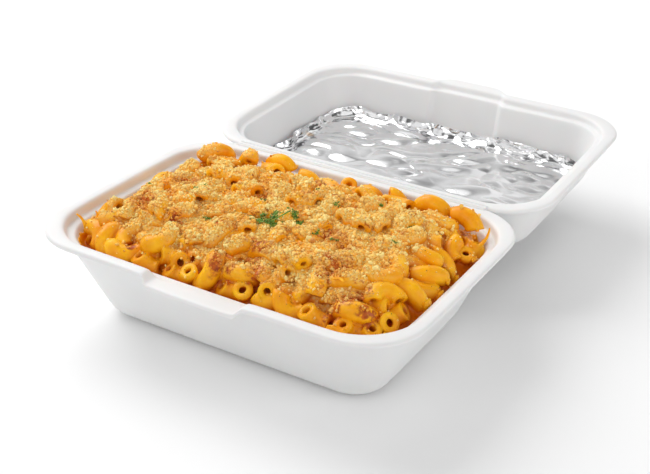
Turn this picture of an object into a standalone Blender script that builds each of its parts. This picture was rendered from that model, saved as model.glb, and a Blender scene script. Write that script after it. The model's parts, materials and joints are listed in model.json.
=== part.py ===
"""Baked macaroni and cheese in the hinged foam takeaway box that it is served in.

Metres, +Z up. The origin is the middle of the tray's underside, +X runs along the hinge and +Y
points from the tray to the open lid.
"""

import math
import random

import bmesh
import bpy
from mathutils import Matrix, Vector

# Driving sizes of the box
BOX_WIDTH = 0.229
BOX_DEPTH = 0.162
TRAY_HEIGHT = 0.0555
LID_HEIGHT = 0.0355
LID_RAISED = math.radians(1.5)
FOAM = 0.0025
GAP = 0.0003

# Corner radius of the outline: at the rim, where the walls start, and at the foot of the walls
RIM_RADIUS = 0.0335
WALL_RADIUS = 0.0331
WALL_INSET = 0.0070
UNDER_RIM = 0.0030
TRAY_FOOT_INSET = 0.0285
TRAY_FOOT_RADIUS = 0.0185
TRAY_FOOT_FILLET = 0.0135
TRAY_BACK_FOOT_INSET = 0.0240
LID_FOOT_INSET = 0.0175
LID_FOOT_RADIUS = 0.0205
LID_FOOT_FILLET = 0.0100

# The foam's section at the rim: the curled lip outside, the flat, and the ledge inside. Each point
# is its inset from the outline, then how far it lies below the rim
TRAY_LEDGE_DROP = 0.0056
TRAY_LEDGE_WIDTH = 0.0031
LID_LEDGE_DROP = 0.0045
LID_LEDGE_WIDTH = 0.0026
LEDGE_INSET = 0.0090
UNDER_LIP = (0.0055, 0.0033)
LIP = ((0.0028, 0.0030), (0.0013, 0.0035), (0.0002, 0.0028), (0.0000, 0.0016), (0.0005, 0.0005), (0.0017, 0.0))
FLAT_END = ((0.0056, 0.0), (0.0070, 0.0007), (0.0078, 0.0020))
FILLET_STEPS = 3

# The locking notch in the tray's front rim, and the tongue on the lid's far rim that meets it
NOTCH_HALF = 0.0255
NOTCH_RAMP = 0.0065
NOTCH_DROP = 0.0047
NOTCH_REACH = 0.0028
SHELF_LEVEL = 0.0055
UNDER_SHELF_LEVEL = 0.0090
TONGUE_HALF = 0.0170
TONGUE_RAMP = 0.0100
TONGUE_REACH = 0.0050
TONGUE_CURL = 0.0009
POCKET_HALF = 0.0220
POCKET_RAMP = 0.0065
POCKET_REACH = 0.0040
POCKET_FADE = 0.0090

# How finely the outline is divided
CORNER_STEPS = 7
SHORT_SIDE_STEPS = 3
LONG_SIDE_STEPS = 5

# The food, and the foil that lines the lid
FOOD_CELL = 0.0072
FOOD_CROWN = 0.0165
FOOD_ROLL = 0.0340
FOOD_WALL_BELOW_RIM = 0.0068
FOOD_EDGE_BELOW_RIM = 0.0040
FOOD_TILT_X = 0.018
FOOD_TILT_Y = -0.012
FOOD_LUMP = 0.0046
FOOD_LUMP_SPACING = 0.0155
FOOD_CALM_EDGE = 0.0080
FOOD_SEED = 7
FOIL_THICKNESS = 0.0006
FOIL_RISE = 0.0030
FOIL_PLEAT = 0.0014
FOIL_PLEATS = 11

HINGE_Y = BOX_DEPTH / 2
HINGE_Z = TRAY_HEIGHT + GAP / 2


def clear_scene():
    for each in list(bpy.data.objects):
        bpy.data.objects.remove(each, do_unlink=True)


def material(name, colour, roughness, metallic=0.0):
    made = bpy.data.materials.new(name)
    made.use_nodes = True
    shader = made.node_tree.nodes["Principled BSDF"]
    shader.inputs["Base Color"].default_value = (*colour, 1.0)
    shader.inputs["Roughness"].default_value = roughness
    shader.inputs["Metallic"].default_value = metallic
    return made


def smooth_step(t):
    t = min(1.0, max(0.0, t))
    return t * t * (3 - 2 * t)


def plateau(x, half, ramp):
    """1 within half of the middle, falling smoothly to 0 over the ramp."""
    return smooth_step((half + ramp - abs(x)) / ramp)


def long_side_places(half_length, half, ramp):
    """Places along a long side, close together where the notch or the pocket starts and ends."""
    marks = [0.0, half * 0.4, half * 0.8, half]
    marks += [half + ramp * share for share in (0.25, 0.5, 0.75, 1.0)]
    marks += [(half + ramp + half_length) / 2]
    marks = [mark for mark in marks if mark < half_length]
    return [-mark for mark in reversed(marks[1:])] + marks


def outline(inset, radius, marked_side, half, ramp, back_inset=None):
    """The box's outline, drawn in from its rim: anticlockwise from the right end of the front side.

    The front side has y = -depth / 2. marked_side is -1 or 1, the long side with the close places.
    """
    half_x = BOX_WIDTH / 2 - inset
    front_y = inset - BOX_DEPTH / 2
    back_y = BOX_DEPTH / 2 - (inset if back_inset is None else back_inset)
    straight_x = half_x - radius
    low_y = front_y + radius
    high_y = back_y - radius
    marked = long_side_places(BOX_WIDTH / 2 - RIM_RADIUS, half, ramp)
    plain = [(2 * step / LONG_SIDE_STEPS - 1) * straight_x for step in range(1, LONG_SIDE_STEPS)]
    short = [low_y + (high_y - low_y) * step / SHORT_SIDE_STEPS for step in range(1, SHORT_SIDE_STEPS)]
    front = marked if marked_side < 0 else plain
    back = marked if marked_side > 0 else plain
    corners = [(straight_x, low_y, -90), (straight_x, high_y, 0)]
    corners += [(-straight_x, high_y, 90), (-straight_x, low_y, 180)]
    sides = [[(half_x, y) for y in short]]
    sides += [[(x, back_y) for x in reversed(back)]]
    sides += [[(-half_x, y) for y in reversed(short)]]
    sides += [[(x, front_y) for x in front]]
    points = []
    for (centre_x, centre_y, start), side in zip(corners, sides):
        for step in range(CORNER_STEPS + 1):
            turn = math.radians(start + 90 * step / CORNER_STEPS)
            points.append((centre_x + radius * math.cos(turn), centre_y + radius * math.sin(turn)))
        points += side
    return points


def corner_radius(inset, foot_inset, foot_radius):
    if inset <= WALL_INSET:
        return RIM_RADIUS + (WALL_RADIUS - RIM_RADIUS) * inset / WALL_INSET
    share = (inset - WALL_INSET) / (foot_inset - WALL_INSET)
    return max(0.004, WALL_RADIUS + (foot_radius - WALL_RADIUS) * share)


def wall_to_floor(top, foot, fillet, steps):
    """The run of a straight wall down to a round foot, as (inset, height) pairs from the top."""
    top, foot = Vector(top), Vector(foot)
    down = (foot - top).normalized()
    turn = math.acos(down.x)
    reach = fillet * math.tan(turn / 2)
    start = foot - down * reach
    towards_centre = Vector((-down.y, down.x))
    centre = start + towards_centre * fillet
    run = [top, top.lerp(start, 0.5)]
    for step in range(steps + 1):
        angle = turn * step / steps
        arm = start - centre
        turned = Vector((
            arm.x * math.cos(angle) - arm.y * math.sin(angle),
            arm.x * math.sin(angle) + arm.y * math.cos(angle),
        ))
        run.append(centre + turned)
    return [tuple(point) for point in run]


def wall_slope(height, foot_inset):
    """How far a wall runs in for each metre that it runs down."""
    return (foot_inset - WALL_INSET) / (height - UNDER_RIM)


def foam_profile(height, step_down, ledge, foot_inset, fillet):
    """A foam half's section as (inset, height) pairs, from the underside round the lip to the floor.

    step_down is how far the ledge inside the rim lies below the rim, and ledge how wide it is. The
    section comes in four runs: outside, lip, step down to the ledge, and inside wall.
    """
    slope = wall_slope(height, foot_inset)
    shoulder = step_down + FOAM + 0.0010
    outer_start = (WALL_INSET + slope * (shoulder - UNDER_RIM) + 0.0002, height - shoulder)
    outer = wall_to_floor(outer_start, (foot_inset, 0.0), fillet, FILLET_STEPS)
    outer.reverse()
    outer += [(0.0070, height - step_down - 0.0022), (0.0059, height - step_down - 0.0006)]
    outer += [(UNDER_LIP[0], height - UNDER_LIP[1])]
    lip = [(inset, height - below) for inset, below in LIP]
    ledge_end = LEDGE_INSET + ledge
    step = [(inset, height - below) for inset, below in FLAT_END]
    step += [(LEDGE_INSET - 0.0008, height - step_down + 0.0010), (LEDGE_INSET, height - step_down)]
    step += [(ledge_end, height - step_down - 0.0003)]
    wall_top = (ledge_end + 0.0010, height - step_down - 0.0011)
    across = FOAM * math.hypot(1.0, slope)
    wall_foot = (foot_inset + across - slope * FOAM, FOAM)
    wall = wall_to_floor(wall_top, wall_foot, fillet - FOAM, FILLET_STEPS)
    return outer, lip, step, wall


def tray_profile():
    return foam_profile(TRAY_HEIGHT, TRAY_LEDGE_DROP, TRAY_LEDGE_WIDTH, TRAY_FOOT_INSET, TRAY_FOOT_FILLET)


def lid_profile():
    return foam_profile(LID_HEIGHT, LID_LEDGE_DROP, LID_LEDGE_WIDTH, LID_FOOT_INSET, LID_FOOT_FILLET)


def skin(rings):
    """A closed shell through rings that all have the same number of points, flat at both ends."""
    shape = bmesh.new()
    loops = [[shape.verts.new(point) for point in ring] for ring in rings]
    for lower, upper in zip(loops, loops[1:]):
        for here in range(len(lower)):
            after = (here + 1) % len(lower)
            shape.faces.new((lower[here], lower[after], upper[after], upper[here]))
    shape.faces.new(list(reversed(loops[0])))
    shape.faces.new(loops[-1])
    return shape


def piece(name, shape, matter):
    """A finished body: its faces point out, and it is shaded smooth but for its sharp edges."""
    bmesh.ops.recalc_face_normals(shape, faces=shape.faces)
    mesh = bpy.data.meshes.new(name)
    shape.to_mesh(mesh)
    shape.free()
    mesh.materials.append(matter)
    mesh.shade_smooth()
    mesh.set_sharp_from_angle(angle=math.radians(50))
    made = bpy.data.objects.new(name, mesh)
    bpy.context.scene.collection.objects.link(made)
    return made


def notched(point, inset, height, part):
    """A point of the tray's section, lowered and drawn out where the front rim has its notch."""
    x, y = point
    if y > 0:
        return (x, y, height)
    share = plateau(x, NOTCH_HALF, NOTCH_RAMP)
    above = TRAY_HEIGHT - height
    if part == "lip":
        y -= share * NOTCH_REACH * smooth_step((0.0060 - inset) / 0.0040)
        height -= share * NOTCH_DROP
    elif part == "inner":
        height -= share * 0.95 * max(0.0, SHELF_LEVEL - above)
    else:
        height -= share * 0.86 * max(0.0, UNDER_SHELF_LEVEL - above)
    return (x, y, height)


def tongued(point, inset, height, part):
    """A point of the lid's section, drawn out where the far wall has its pocket and its tongue."""
    x, y = point
    if y < 0:
        return (x, y, height)
    reach = POCKET_REACH * smooth_step(height / POCKET_FADE) * plateau(x, POCKET_HALF, POCKET_RAMP)
    if part == "lip":
        tongue = plateau(x, TONGUE_HALF, TONGUE_RAMP)
        edge = smooth_step((0.0058 - inset) / 0.0040)
        reach += (TONGUE_REACH * tongue - reach) * edge
        height += TONGUE_CURL * tongue * edge
    return (x, y + reach, height)


def tray_outline(inset):
    """The tray's outline at an inset: its back wall is steeper than the other three."""
    radius = corner_radius(inset, TRAY_FOOT_INSET, TRAY_FOOT_RADIUS)
    steeper = (TRAY_BACK_FOOT_INSET - WALL_INSET) / (TRAY_FOOT_INSET - WALL_INSET)
    back_inset = inset if inset < WALL_INSET else WALL_INSET + (inset - WALL_INSET) * steeper
    return outline(inset, radius, -1, NOTCH_HALF, NOTCH_RAMP, back_inset)


def lid_outline(inset):
    radius = corner_radius(inset, LID_FOOT_INSET, LID_FOOT_RADIUS)
    return outline(inset, radius, 1, POCKET_HALF, POCKET_RAMP)


def tray_rings():
    outer, lip, step, wall = tray_profile()
    rings = []
    for part, section in (("outer", outer), ("lip", lip), ("inner", step + wall)):
        for inset, height in section:
            ring = [notched(point, inset, height, part) for point in tray_outline(inset)]
            rings.append([(x, min(y, HINGE_Y - GAP / 2), z) for x, y, z in ring])
    return rings


def food_lumps():
    """Where pasta lies in bunches: a loose grid of places, shaken, each with its own size."""
    shaken = random.Random(FOOD_SEED)
    lumps = []
    columns = int(BOX_WIDTH / FOOD_LUMP_SPACING)
    rows = int(BOX_DEPTH / FOOD_LUMP_SPACING)
    for column in range(columns + 1):
        for row in range(rows + 1):
            x = (column - columns / 2) * FOOD_LUMP_SPACING + shaken.uniform(-0.004, 0.004)
            y = (row - rows / 2) * FOOD_LUMP_SPACING + shaken.uniform(-0.004, 0.004)
            lumps.append((x, y, shaken.uniform(0.4, 1.3)))
    return lumps


def food_height(x, y, from_wall, lumps):
    """The top of the food at a place that lies from_wall inside the tray's wall."""
    edge = TRAY_HEIGHT - FOOD_EDGE_BELOW_RIM + FOOD_TILT_X * x + FOOD_TILT_Y * y
    inward = min(1.0, from_wall / FOOD_ROLL)
    crown = FOOD_CROWN * math.sin(inward * math.pi / 2)
    lump = 0.0
    for centre_x, centre_y, size in lumps:
        away = math.hypot(x - centre_x, y - centre_y) / (FOOD_LUMP_SPACING * 0.68)
        if away < 1:
            lump = max(lump, size * (1 - away * away))
    loose = smooth_step(from_wall / FOOD_CALM_EDGE)
    return edge + crown + FOOD_LUMP * (lump - 0.6) * loose


def food_shape():
    """The food fills the tray to near its rim and is heaped up over it in uneven lumps."""
    _, _, _, tray_wall = tray_profile()
    rings = []
    for inset, height in reversed(tray_wall):
        flat = tray_outline(inset + GAP * 1.3)
        rings.append([(x, y, min(height + GAP, TRAY_HEIGHT - FOOD_WALL_BELOW_RIM)) for x, y in flat])
    shape = skin(rings)
    top = [max(shape.faces, key=lambda face: face.calc_center_median().z)]
    for normal, half in (((1, 0, 0), BOX_WIDTH / 2), ((0, 1, 0), BOX_DEPTH / 2)):
        steps = int(half / FOOD_CELL)
        for step in range(-steps, steps + 1):
            around = set(top)
            for face in top:
                around.update(face.edges)
                around.update(face.verts)
            place = Vector(normal) * (step * FOOD_CELL)
            cut = bmesh.ops.bisect_plane(
                shape, geom=list(around), dist=1e-5, plane_co=place, plane_no=normal
            )
            top = [each for each in cut["geom"] if isinstance(each, bmesh.types.BMFace)]
    border = {vertex for edge in shape.edges for vertex in edge.verts
              if len(set(edge.link_faces) & set(top)) == 1}
    inside = {vertex for face in top for vertex in face.verts} - border
    wall = [vertex.co.copy() for vertex in border]
    lumps = food_lumps()
    for vertex in inside:
        x, y = vertex.co.x, vertex.co.y
        from_wall = min(math.hypot(x - place.x, y - place.y) for place in wall)
        vertex.co.z = food_height(x, y, from_wall, lumps)
    bmesh.ops.triangulate(shape, faces=shape.faces[:])
    return shape


def lid_rings():
    outer, lip, step, wall = lid_profile()
    rings = []
    for part, section in (("outer", outer), ("lip", lip), ("inner", step + wall)):
        for inset, height in section:
            ring = [tongued(point, inset, height, part) for point in lid_outline(inset)]
            ring = [(x, y + BOX_DEPTH / 2, z - LID_HEIGHT) for x, y, z in ring]
            rings.append([(x, max(y, GAP / 2), z) for x, y, z in ring])
    return rings


def foil_rings():
    """The foil lies on the lid's floor and stands a little up its walls, with pleats in the edge."""
    _, _, _, lid_wall = lid_profile()
    floor_up = list(reversed(lid_wall[-1 - FILLET_STEPS:]))
    slope = wall_slope(LID_HEIGHT, LID_FOOT_INSET)
    under = [(inset + GAP * 1.3, height + GAP) for inset, height in floor_up]
    over = [(inset + FOIL_THICKNESS, height + FOIL_THICKNESS) for inset, height in under]
    foot_inset, foot_height = under[-1]
    edge_inset = foot_inset - slope * (FOIL_RISE - FOIL_PLEAT)
    under.append((edge_inset, foot_height + FOIL_RISE))
    over.append((edge_inset + FOIL_THICKNESS, foot_height + FOIL_RISE))
    rings = []
    for inset, height in under + list(reversed(over)):
        lifted = smooth_step((height - foot_height) / FOIL_RISE)
        ring = []
        for x, y in lid_outline(inset):
            around = math.atan2(y, x)
            wave = math.sin(FOIL_PLEATS * around + 1.3 * math.sin(3 * around))
            z = height + FOIL_PLEAT * lifted * wave - LID_HEIGHT
            ring.append((x, y + BOX_DEPTH / 2, z))
        rings.append(ring)
    return rings


def build():
    clear_scene()
    white_foam = material("white_foam", (0.86, 0.86, 0.85), 0.55)
    baked_food = material("baked_macaroni", (0.80, 0.42, 0.08), 0.45)
    foil = material("kitchen_foil", (0.78, 0.78, 0.79), 0.28, 1.0)
    piece("tray", skin(tray_rings()), white_foam)
    piece("mac_and_cheese", food_shape(), baked_food)
    hinge = bpy.data.objects.new("hinge_axis", None)
    bpy.context.scene.collection.objects.link(hinge)
    hinge.matrix_world = Matrix.Translation((0, HINGE_Y, HINGE_Z)) @ Matrix.Rotation(LID_RAISED, 4, "X")
    lid = piece("lid", skin(lid_rings()), white_foam)
    liner = piece("foil_liner", skin(foil_rings()), foil)
    for made in (lid, liner):
        made.parent = hinge
        made.location = (0, 0, -GAP / 2)


build()
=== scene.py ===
import json
import math
import random

import bmesh
import bpy
import numpy as np
from mathutils import Matrix, Vector, noise
from mathutils.bvhtree import BVHTree


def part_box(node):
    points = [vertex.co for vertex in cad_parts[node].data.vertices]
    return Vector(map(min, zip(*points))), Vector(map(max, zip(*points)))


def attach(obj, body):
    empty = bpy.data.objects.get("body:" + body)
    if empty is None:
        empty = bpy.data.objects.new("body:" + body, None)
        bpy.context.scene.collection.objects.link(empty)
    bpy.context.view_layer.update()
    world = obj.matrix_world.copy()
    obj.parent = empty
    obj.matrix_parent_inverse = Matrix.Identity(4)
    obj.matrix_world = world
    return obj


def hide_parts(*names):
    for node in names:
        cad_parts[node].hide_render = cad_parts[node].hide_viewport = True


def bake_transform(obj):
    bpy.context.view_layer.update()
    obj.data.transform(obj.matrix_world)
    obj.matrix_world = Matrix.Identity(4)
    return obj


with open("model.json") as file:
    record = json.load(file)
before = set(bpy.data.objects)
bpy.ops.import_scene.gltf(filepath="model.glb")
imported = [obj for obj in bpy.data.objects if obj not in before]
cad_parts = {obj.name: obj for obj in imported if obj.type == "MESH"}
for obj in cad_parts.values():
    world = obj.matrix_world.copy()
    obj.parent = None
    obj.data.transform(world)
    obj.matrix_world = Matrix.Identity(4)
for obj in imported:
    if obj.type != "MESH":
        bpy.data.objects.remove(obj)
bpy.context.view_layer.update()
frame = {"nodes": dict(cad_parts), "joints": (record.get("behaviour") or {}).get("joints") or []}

# The tray and the lid of the box: two halves of one white polystyrene foam sheet, pressed hot into
# shape, with a stepped round rim, a locking notch at the front and a tongue on the lid. The skin is
# smooth and matt over very fine closed cells.
FOAM_MERGE = 0.00002
FOAM_WHITE = (0.83, 0.83, 0.825)
FOAM_SHADE = (0.79, 0.792, 0.79)
FOAM_CELL = 900.0
FOAM_DIMPLE = 0.00002


def only(piece):
    """Selects one piece and nothing else, in object mode."""
    if bpy.context.mode != "OBJECT":
        bpy.ops.object.mode_set(mode="OBJECT")
    bpy.ops.object.select_all(action="DESELECT")
    piece.select_set(True)
    bpy.context.view_layer.objects.active = piece


def apply_modifier(piece, kind, **settings):
    """Adds one modifier with these settings and makes it part of the mesh."""
    only(piece)
    made = piece.modifiers.new(kind.lower(), kind)
    for name, value in settings.items():
        setattr(made, name, value)
    bpy.ops.object.modifier_apply(modifier=made.name)


def merged_copy(node, name):
    """A piece with a CAD node's shape, its triangles joined into one skin of mostly quads."""
    piece = bpy.data.objects.new(name, frame["nodes"][node].data.copy())
    bpy.context.scene.collection.objects.link(piece)
    only(piece)
    bpy.ops.mesh.customdata_custom_splitnormals_clear()
    bpy.ops.object.mode_set(mode="EDIT")
    bpy.ops.mesh.select_all(action="SELECT")
    bpy.ops.mesh.remove_doubles(threshold=FOAM_MERGE)
    bpy.ops.mesh.mark_sharp(clear=True)
    bpy.ops.mesh.tris_convert_to_quads(face_threshold=math.radians(60), shape_threshold=math.radians(60))
    bpy.ops.object.mode_set(mode="OBJECT")
    piece.data.materials.clear()
    return piece


class Recipe:
    """A new material's node tree, with short ways to add the nodes and join them up."""

    def __init__(self, name):
        self.material = bpy.data.materials.new(name)
        self.material.use_nodes = True
        self.tree = self.material.node_tree
        self.shader = self.tree.nodes["Principled BSDF"]

    def node(self, kind, **settings):
        made = self.tree.nodes.new(kind)
        for name, value in settings.items():
            if name in made.inputs:
                made.inputs[name].default_value = value
            else:
                setattr(made, name, value)
        return made

    def join(self, start, end):
        self.tree.links.new(start, end)

    def place(self):
        return self.node("ShaderNodeTexCoord").outputs["Object"]

    def noise(self, scale, detail=2.0, roughness=0.5, at=None):
        made = self.node("ShaderNodeTexNoise", Scale=scale, Detail=detail, Roughness=roughness)
        self.join(at or self.place(), made.inputs["Vector"])
        return made.outputs["Fac"]

    def cells(self, scale, feature="F1", at=None):
        made = self.node("ShaderNodeTexVoronoi", Scale=scale, feature=feature)
        self.join(at or self.place(), made.inputs["Vector"])
        return made.outputs["Distance"]

    def spread(self, value, low, high, to_low=0.0, to_high=1.0):
        made = self.node("ShaderNodeMapRange")
        self.join(value, made.inputs["Value"])
        made.inputs["From Min"].default_value = low
        made.inputs["From Max"].default_value = high
        made.inputs["To Min"].default_value = to_low
        made.inputs["To Max"].default_value = to_high
        return made.outputs["Result"]

    def mix(self, share, first, second):
        made = self.node("ShaderNodeMix", data_type="RGBA")
        for socket, value in ((0, share), (6, first), (7, second)):
            if isinstance(value, tuple):
                made.inputs[socket].default_value = (*value, 1.0)
            elif isinstance(value, float):
                made.inputs[socket].default_value = value
            else:
                self.join(value, made.inputs[socket])
        return made.outputs[2]

    def colour(self, value):
        self.join(value, self.shader.inputs["Base Color"])

    def roughness(self, value):
        self.join(value, self.shader.inputs["Roughness"])

    def bump(self, height, distance, strength=1.0, below=None):
        made = self.node("ShaderNodeBump", Distance=distance, Strength=strength)
        self.join(height, made.inputs["Height"])
        if below:
            self.join(below, made.inputs["Normal"])
        self.join(made.outputs["Normal"], self.shader.inputs["Normal"])
        return made.outputs["Normal"]

    def fixed(self, **values):
        for name, value in values.items():
            socket = self.shader.inputs[name.replace("_", " ")]
            socket.default_value = (*value, 1.0) if isinstance(value, tuple) and len(value) == 3 and \
                socket.type == "RGBA" else value
        return self.material


def foam_material():
    foam = Recipe("pressed_foam")
    clouds = foam.noise(14.0, 3.0)
    foam.colour(foam.mix(foam.spread(clouds, 0.35, 0.65), FOAM_WHITE, FOAM_SHADE))
    foam.roughness(foam.spread(foam.noise(220.0, 2.0), 0.3, 0.7, 0.42, 0.56))
    skin = foam.bump(foam.cells(FOAM_CELL), FOAM_DIMPLE, 0.6)
    foam.bump(foam.noise(60.0, 2.0), 0.00012, 0.5, skin)
    return foam.fixed(Subsurface_Weight=0.10, Subsurface_Scale=0.004, IOR=1.45)


foam = foam_material()
for node, name, body in (("tray", "foam_tray", "base"), ("lid", "foam_lid", "cover")):
    half = merged_copy(node, name)
    apply_modifier(half, "SUBSURF", levels=2, render_levels=2)
    half.data.materials.append(foam)
    half.data.shade_smooth()
    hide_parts(node)
    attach(half, body)

# The fold that joins the two halves: the same sheet of foam, pressed thin along two score lines, so
# that it shows as three narrow ridges between the rims.
HINGE_REACH = 0.0845
HINGE_HALF_WIDTH = 0.0030
HINGE_DEEP = 0.0019
HINGE_CELLS = 60

joint = frame["joints"][0]
axis_y, axis_z = joint["pos_m"][1], joint["pos_m"][2]
# across the fold: place from the axis, and height below it, over the top and back underneath
fold_section = (
    (-1.00, 0.02), (-0.80, 0.20), (-0.62, 0.02), (-0.50, -0.75), (-0.36, 0.05), (0.0, 0.28),
    (0.36, 0.05), (0.50, -0.75), (0.62, 0.02), (0.80, 0.20), (1.00, 0.02),
    (0.95, -1.0), (0.45, -1.18), (0.0, -1.22), (-0.45, -1.18), (-0.95, -1.0),
)
bpy.ops.object.select_all(action="DESELECT")
bpy.ops.mesh.primitive_circle_add(vertices=len(fold_section), radius=1.0, location=(0, 0, 0))
fold = bpy.context.object
fold.name = "foam_fold"
for point, (across, down) in zip(fold.data.vertices, fold_section):
    point.co = (-HINGE_REACH, axis_y + across * HINGE_HALF_WIDTH, axis_z + down * HINGE_DEEP)
bpy.ops.object.mode_set(mode="EDIT")
bpy.ops.mesh.select_all(action="SELECT")
bpy.ops.mesh.edge_face_add()
for _ in range(HINGE_CELLS):
    bpy.ops.mesh.extrude_region_move(
        TRANSFORM_OT_translate={"value": (2 * HINGE_REACH / HINGE_CELLS, 0, 0)})
bpy.ops.mesh.select_all(action="SELECT")
bpy.ops.mesh.remove_doubles(threshold=FOAM_MERGE)
bpy.ops.mesh.normals_make_consistent(inside=False)
bpy.ops.object.mode_set(mode="OBJECT")
only(fold)
bpy.ops.object.shade_smooth_by_angle(angle=math.radians(60))
fold.data.materials.append(foam)
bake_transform(fold)

# The foil that lines the lid: one sheet of kitchen foil pressed into it by hand. It lies nearly flat
# on the lid's floor, stands a few millimetres up the walls in crushed pleats, and ends torn uneven.
FOIL_ROUND = 420
FOIL_FLOOR_RINGS = 64
FOIL_WALL_RINGS = 14
FOIL_FLOOR_X = 0.0885
FOIL_FLOOR_Y = 0.0550
FOIL_CORNER = 0.0140
FOIL_FILLET = 0.0075
FOIL_EDGE_HEIGHT = 0.0085
FOIL_LIFT = 0.0008
LID_TILT = math.radians(1.5)
LID_HALF_DEPTH = 0.081
LID_HEIGHT = 0.0355
LID_FOAM = 0.0025
# how far beyond the middle of the lid each smear lies, and how far it reaches
FOIL_SMEARS = ((0.010, 0.0040), (0.035, 0.0030))
FOIL_SMEAR_COLOUR = (0.80, 0.46, 0.16)
LID_FLOOR_LEVEL = LID_FOAM - LID_HEIGHT

tilted = Matrix.Translation((0, axis_y, axis_z)) @ Matrix.Rotation(LID_TILT, 4, "X")


def rounded_place(share, half_x, half_y, corner):
    """A place on a rounded rectangle, share of the way round it, and the direction straight out."""
    straight_x, straight_y = half_x - corner, half_y - corner
    arc = corner * math.pi / 2
    runs = [(2 * straight_y, "right"), (arc, 0), (2 * straight_x, "back"), (arc, 90),
            (2 * straight_y, "left"), (arc, 180), (2 * straight_x, "front"), (arc, 270)]
    centres = {0: (1, 1), 90: (-1, 1), 180: (-1, -1), 270: (1, -1)}
    walked = (share % 1.0) * sum(length for length, _ in runs)
    for length, kind in runs:
        if walked <= length:
            break
        walked -= length
    if kind == "right":
        return Vector((half_x, walked - straight_y, 0)), Vector((1, 0, 0))
    if kind == "back":
        return Vector((straight_x - walked, half_y, 0)), Vector((0, 1, 0))
    if kind == "left":
        return Vector((-half_x, straight_y - walked, 0)), Vector((-1, 0, 0))
    if kind == "front":
        return Vector((walked - straight_x, -half_y, 0)), Vector((0, -1, 0))
    turn = math.radians(kind) + walked / corner
    out = Vector((math.cos(turn), math.sin(turn), 0))
    sign = centres[kind]
    return Vector((sign[0] * straight_x, sign[1] * straight_y, 0)) + out * corner, out


def crease(point, scale, seed):
    """Sharp folds: noise folded about its middle, from 0 in a crease to about 1 between creases."""
    return abs(noise.noise(point * scale + Vector((seed, -seed, 2 * seed)))) * 2.2


def facets(point, scale, seed):
    """Flat crushed faces: the gap between the nearest two of scattered points."""
    near = noise.voronoi(point * scale + Vector((seed, seed, seed)))[0]
    return near[1] - near[0]


def foil_point(share, ring):
    """Where a point of the sheet lies in the lid: ring 0 is the middle, 1 the wall's foot, 2 the edge."""
    place, out = rounded_place(share, FOIL_FLOOR_X, FOIL_FLOOR_Y, FOIL_CORNER)
    ragged = 1.0 + 0.34 * noise.noise(place * 38.0) + 0.10 * noise.noise(place * 90.0)
    if ring <= 1.0:
        spot = place * ring
        height = 0.0
        rise = 0.0
    else:
        length = (ring - 1.0) * FOIL_EDGE_HEIGHT * ragged * 1.25
        bent = min(length / FOIL_FILLET, math.radians(70))
        rest = max(0.0, length - FOIL_FILLET * math.radians(70))
        along = FOIL_FILLET * math.sin(bent) + rest * math.cos(math.radians(70))
        height = FOIL_FILLET * (1 - math.cos(bent)) + rest * math.sin(math.radians(70))
        spot = place + out * along
        rise = ring - 1.0
    flat = Vector((spot.x * 0.40, spot.y, 0))
    slant = Vector((spot.x + 0.6 * spot.y, 1.6 * spot.y - 0.5 * spot.x, 0))
    wrinkle = 0.0012 * crease(flat, 24.0, 3.1) + 0.0009 * crease(slant, 46.0, 7.7)
    wrinkle += 0.0012 * noise.noise(Vector((spot.x * 12.0, spot.y * 17.0, 4.0)))
    near_wall = max(0.0, ring - 0.86) / 0.14 if ring < 1 else 1.0
    up = Vector((0, 0, height))
    crushed = 0.0060 * facets(spot + up, 48.0, 1.3) + 0.0008 * facets(spot + up, 120.0, 5.0)
    inward = out * -1.0
    lift = FOIL_LIFT + wrinkle * (1 - 0.5 * near_wall) + crushed * 0.25 * near_wall * (1 - rise)
    pleat = 0.0020 * facets(place, 34.0, 8.8) + crushed
    spot = spot + inward * (0.0006 + pleat * min(1.0, rise * 1.6))
    return Vector((spot.x, spot.y + LID_HALF_DEPTH, LID_FLOOR_LEVEL + height + lift))


rings = FOIL_FLOOR_RINGS + FOIL_WALL_RINGS
bpy.ops.object.select_all(action="DESELECT")
bpy.ops.mesh.primitive_grid_add(x_subdivisions=FOIL_ROUND, y_subdivisions=rings, size=2.0)
foil = bpy.context.object
foil.name = "crumpled_foil"
for point in foil.data.vertices:
    share = (point.co.x + 1) / 2
    step_out = (point.co.y + 1) / 2 * rings
    if step_out <= FOIL_FLOOR_RINGS:
        ring = step_out / FOIL_FLOOR_RINGS
    else:
        ring = 1.0 + (step_out - FOIL_FLOOR_RINGS) / FOIL_WALL_RINGS
    point.co = tilted @ foil_point(share, ring)
only(foil)
bpy.ops.object.mode_set(mode="EDIT")
bpy.ops.mesh.select_all(action="SELECT")
bpy.ops.mesh.remove_doubles(threshold=FOAM_MERGE)
bpy.ops.mesh.normals_make_consistent(inside=False)
bpy.ops.object.mode_set(mode="OBJECT")
if sum(face.normal.z for face in foil.data.polygons) < 0:
    foil.data.flip_normals()
bpy.ops.object.shade_smooth_by_angle(angle=math.radians(24))


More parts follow.
